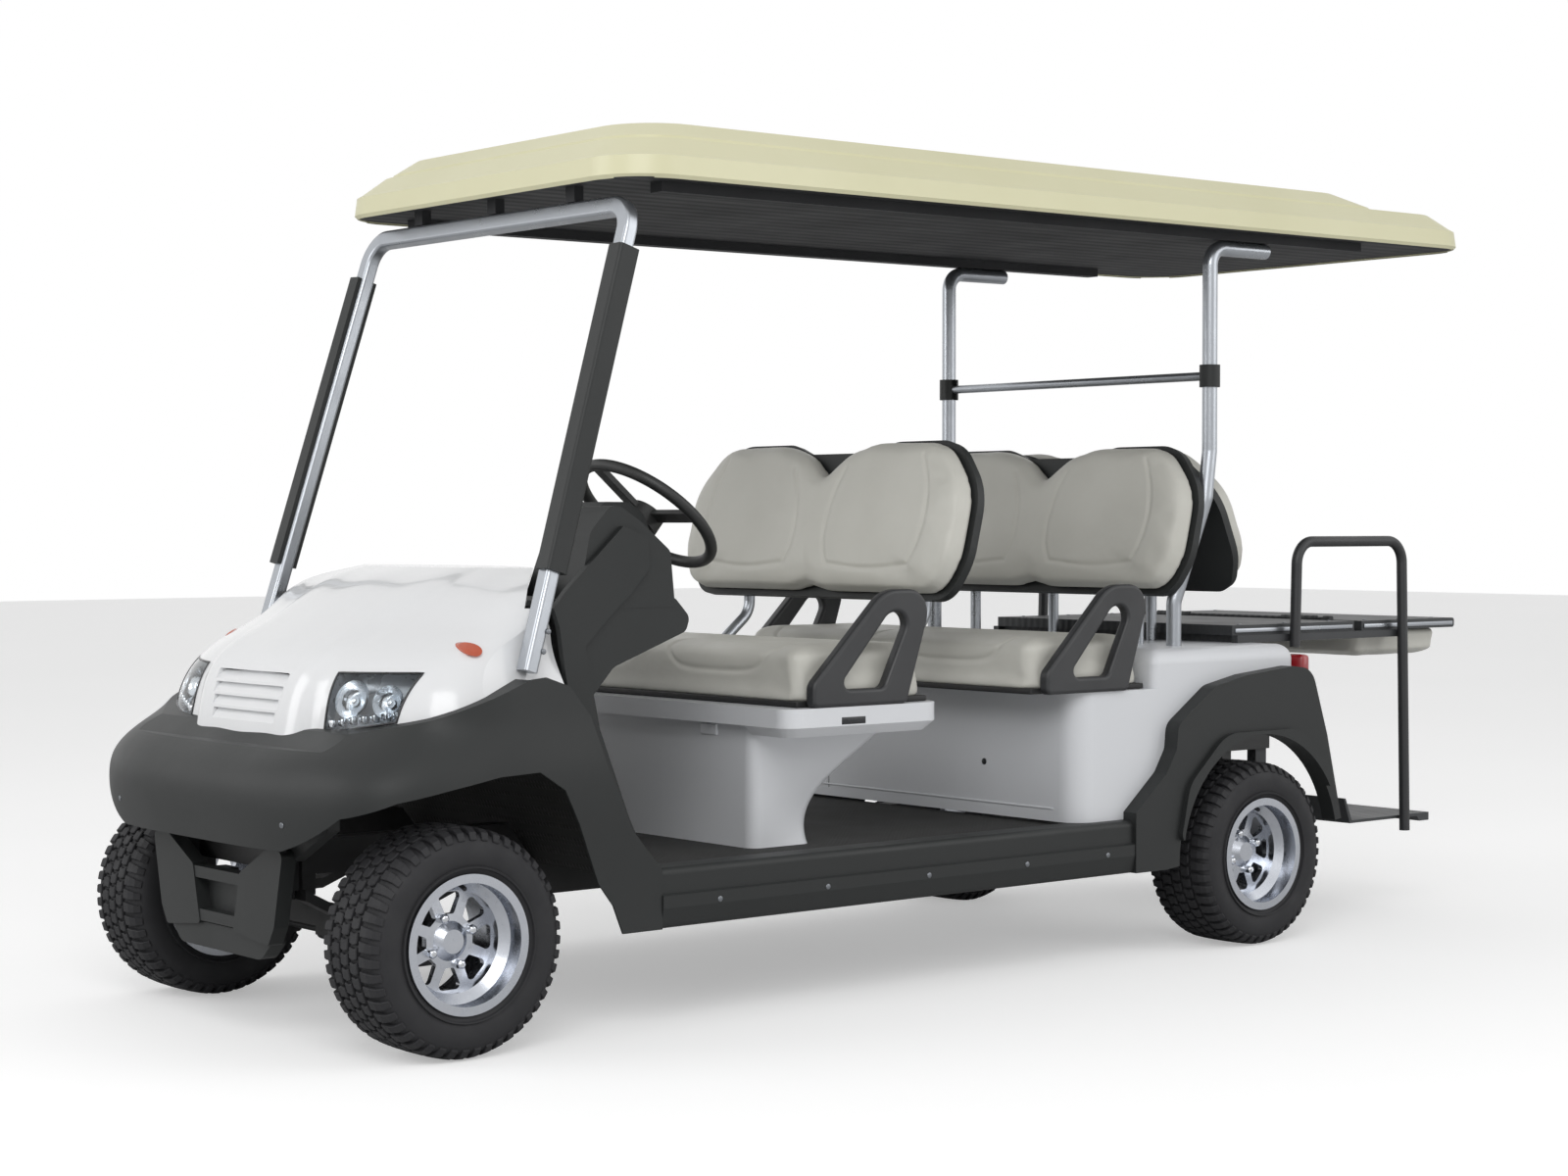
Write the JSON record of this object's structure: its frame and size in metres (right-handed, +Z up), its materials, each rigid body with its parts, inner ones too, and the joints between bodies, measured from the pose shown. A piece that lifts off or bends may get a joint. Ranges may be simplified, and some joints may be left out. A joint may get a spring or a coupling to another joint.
{
  "type": "golf cart",
  "caption": "Open golf cart with forward benches, a flip-over rear seat over a cargo deck, a long roof, steered front wheels and spoked alloy rims.",
  "frame": {"origin": "on the ground under the middle of the cart's length and width", "axes": "+X forward, +Y to the cart's left, +Z up"},
  "size_m": [3.6808, 1.2404, 1.9484],
  "materials": {
    "body_white": "gloss white moulded body panels",
    "black_plastic": "satin charcoal moulded plastic",
    "roof_cream": "cream moulded canopy",
    "roof_lining": "dark ribbed headlining",
    "seat_vinyl": "light warm grey grained vinyl",
    "steel_tube": "satin silver painted tube",
    "dark_tube": "dark grey powder coat",
    "frame_paint": "black chassis paint",
    "deck_plastic": "dark grey ribbed deck",
    "floor_mat": "black ribbed rubber mat on a steel pan",
    "tyre": "black road tyre",
    "alloy": "machined alloy",
    "lamp_glass": "clear lamp lens",
    "amber_lens": "amber lens",
    "red_lens": "red lens",
    "battery": "plain battery cases"
  },
  "bodies": {
    "chassis": {"armrests": "dark_tube", "backrest_shells": "black_plastic", "backrest_supports": "steel_tube", "battery_block": "battery", "blinkers": "amber_lens", "brush_guard": "black_plastic", "chassis_frame": "frame_paint", "dashboard": "black_plastic", "floor_pan": "floor_mat", "footrest": "deck_plastic", "front_axle": "frame_paint", "front_backrest": "seat_vinyl", "front_bench_base": "body_white", "front_body": "body_white", "front_cladding": "black_plastic", "front_seat_cushion": "seat_vinyl", "grab_rail": "steel_tube", "headlamps": "lamp_glass", "middle_backrest": "seat_vinyl", "middle_seat_cushion": "seat_vinyl", "pedals": "frame_paint", "post_sleeves": "black_plastic", "rear_axle": "frame_paint", "rear_backrest": "seat_vinyl", "rear_body": "body_white", "rear_deck": "deck_plastic", "rear_fenders": "black_plastic", "rear_roof_posts": "steel_tube", "roof": "roof_cream", "roof_liner": "roof_lining", "side_hoops": "dark_tube", "sills": "black_plastic", "steering_column": "black_plastic", "tail_lamps": "red_lens", "windscreen_frame": "steel_tube"},
    "steering_wheel": {"steering_wheel": "black_plastic"},
    "steering_link": {"tie_rod": "frame_paint"},
    "left_knuckle": {"knuckle_left": "frame_paint"},
    "right_knuckle": {"knuckle_right": "frame_paint"},
    "front_left_wheel": {"tyre_front_left": "tyre", "rim_front_left": "alloy"},
    "front_right_wheel": {"tyre_front_right": "tyre", "rim_front_right": "alloy"},
    "rear_left_wheel": {"tyre_rear_left": "tyre", "rim_rear_left": "alloy"},
    "rear_right_wheel": {"tyre_rear_right": "tyre", "rim_rear_right": "alloy"},
    "flip_seat": {"flip_board": "deck_plastic", "flip_cushion": "seat_vinyl"}
  },
  "joints": [
    {"name": "steering_turn", "type": "hinge", "parent": "chassis", "child": "steering_wheel", "pos_m": [0.865, 0.273, 1.078], "axis": [-0.6428, 0, 0.766], "range_deg": [-110, 110]},
    {"name": "left_kingpin", "type": "hinge", "parent": "chassis", "child": "left_knuckle", "pos_m": [1.537, 0.415, 0.23], "axis": [0, 0, 1], "range_deg": [-29, 29]},
    {"name": "right_kingpin", "type": "hinge", "parent": "chassis", "child": "right_knuckle", "pos_m": [1.537, -0.415, 0.23], "axis": [0, 0, 1], "range_deg": [-29, 29]},
    {"name": "tie_rod_slide", "type": "slide", "parent": "chassis", "child": "steering_link", "axis": [0, 1, 0], "range_m": [-0.036, 0.036]},
    {"name": "front_left_axle", "type": "hinge", "parent": "left_knuckle", "child": "front_left_wheel", "pos_m": [1.537, 0.495, 0.23], "axis": [0, 1, 0], "continuous": true},
    {"name": "front_right_axle", "type": "hinge", "parent": "right_knuckle", "child": "front_right_wheel", "pos_m": [1.537, -0.495, 0.23], "axis": [0, 1, 0], "continuous": true},
    {"name": "rear_left_axle", "type": "hinge", "parent": "chassis", "child": "rear_left_wheel", "pos_m": [-0.813, 0.52, 0.23], "axis": [0, 1, 0], "continuous": true},
    {"name": "rear_right_axle", "type": "hinge", "parent": "chassis", "child": "rear_right_wheel", "pos_m": [-0.813, -0.52, 0.23], "axis": [0, 1, 0], "continuous": true},
    {"name": "seat_flip", "type": "hinge", "parent": "chassis", "child": "flip_seat", "pos_m": [-1.413, 0, 0.7975], "axis": [0, 1, 0], "range_deg": [0, 180]}
  ],
  "couplings": [
    {"joint": "left_kingpin", "follows": "steering_turn", "ratio": 0.25455},
    {"joint": "right_kingpin", "follows": "steering_turn", "ratio": 0.25455},
    {"joint": "tie_rod_slide", "follows": "steering_turn", "m_per_rad": -0.01711}
  ]
}
